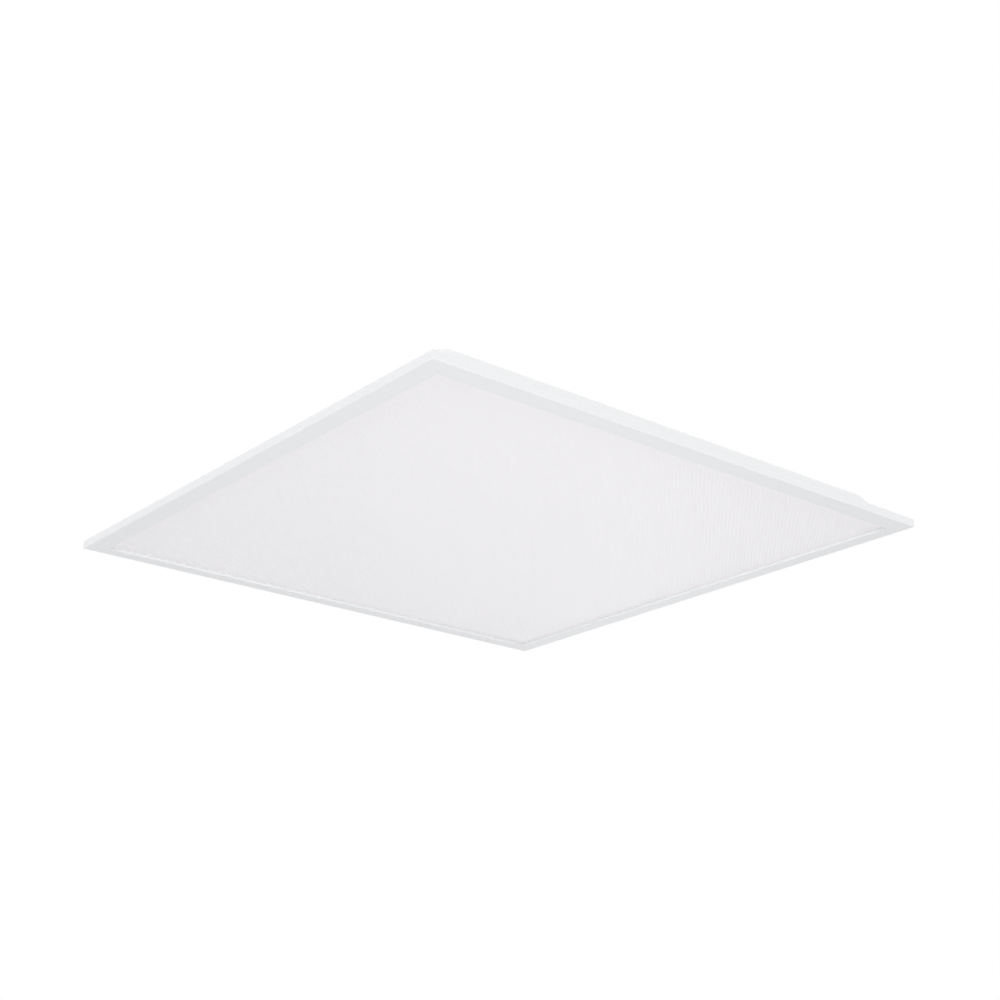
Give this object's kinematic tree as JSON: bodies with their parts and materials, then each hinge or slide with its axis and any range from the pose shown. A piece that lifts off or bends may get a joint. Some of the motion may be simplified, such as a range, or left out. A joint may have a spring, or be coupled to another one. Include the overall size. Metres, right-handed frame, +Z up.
{
  "type": "led ceiling panel",
  "caption": "Square recessed LED ceiling panel with a slim white mitred frame, microprismatic front, ribbed back pan and a driver box with hinged terminal cover.",
  "frame": {"origin": "middle of the square on the plane of the bezel's lowest edge", "axes": "+Z up towards the ceiling void, light shines along -Z; X and Y along the frame's sides, driver box towards +X"},
  "size_m": [0.595, 0.595, 0.0602],
  "materials": {
    "frame_paint": "extruded aluminium, white powder coat, satin",
    "pan_paint": "drawn sheet steel, white powder coat, satin",
    "prism_plate": "moulded microprisms, translucent white",
    "opal_sheet": "opal diffusing sheet",
    "reflector_film": "white foamed film",
    "zinc_steel": "bright zinc plate",
    "strip_board": "aluminium core board, white solder mask",
    "led_phosphor": "yellow phosphor in a white package",
    "lens_clear": "clear moulded lens",
    "nylon": "natural nylon",
    "lead_insulation": "coloured PVC insulation",
    "rubber": "black rubber",
    "driver_plastic": "white polycarbonate, fine moulded grain",
    "terminal_plastic": "grey polyamide",
    "button_plastic": "orange polyamide",
    "board_laminate": "green solder mask",
    "ferrite": "dark sintered ferrite",
    "winding_tape": "yellow polyester tape",
    "capacitor_sleeve": "dark shrink sleeve",
    "film_case": "yellow potted case",
    "bare_aluminium": "bare extrusion"
  },
  "bodies": {
    "housing": {"frame_rail_front": "frame_paint", "frame_rail_right": "frame_paint", "frame_rail_back": "frame_paint", "frame_rail_left": "frame_paint", "corner_keys": "zinc_steel", "corner_screws": "zinc_steel", "prism_plate": "prism_plate", "opal_sheet": "opal_sheet", "back_pan": "pan_paint", "pan_screws": "zinc_steel", "suspension_nuts": "zinc_steel", "reflector_sheet": "reflector_film", "strip_rivets": "nylon", "strip_connectors": "nylon", "jumper_leads": "lead_insulation", "feed_leads": "lead_insulation", "feed_grommet": "rubber", "driver_base": "driver_plastic", "driver_lid": "driver_plastic", "terminal_block": "terminal_plastic", "mains_grommet": "rubber", "input_leads": "lead_insulation", "driver_board": "board_laminate", "board_plugs": "nylon", "transformer_core": "ferrite", "transformer_winding": "winding_tape", "choke_core": "ferrite", "choke_winding": "winding_tape", "bulk_capacitor": "capacitor_sleeve", "film_capacitor": "film_case", "heat_sink": "bare_aluminium", "driver_screws": "zinc_steel", "lid_screws": "zinc_steel", "led_strip_1": "strip_board", "led_chips_1": "led_phosphor", "led_lenses_1": "lens_clear", "led_strip_2": "strip_board", "led_chips_2": "led_phosphor", "led_lenses_2": "lens_clear", "led_strip_3": "strip_board", "led_chips_3": "led_phosphor", "led_lenses_3": "lens_clear", "led_strip_4": "strip_board", "led_chips_4": "led_phosphor", "led_lenses_4": "lens_clear", "led_strip_5": "strip_board", "led_chips_5": "led_phosphor", "led_lenses_5": "lens_clear"},
    "terminal_cover": {"terminal_cover": "driver_plastic"},
    "line_button": {"release_button_line": "button_plastic"},
    "neutral_button": {"release_button_neutral": "button_plastic"}
  },
  "joints": [
    {"name": "cover_hinge", "type": "hinge", "parent": "housing", "child": "terminal_cover", "pos_m": [0.223, -0.0113, 0.0562], "axis": [-1, 0, 0], "range_deg": [0, 100]},
    {"name": "line_release", "type": "slide", "parent": "housing", "child": "line_button", "axis": [0, 0, -1], "range_m": [0, 0.0015], "stiffness_N_per_m": 400, "springref_m": -0.002},
    {"name": "neutral_release", "type": "slide", "parent": "housing", "child": "neutral_button", "axis": [0, 0, -1], "range_m": [0, 0.0015], "stiffness_N_per_m": 400, "springref_m": -0.002}
  ]
}
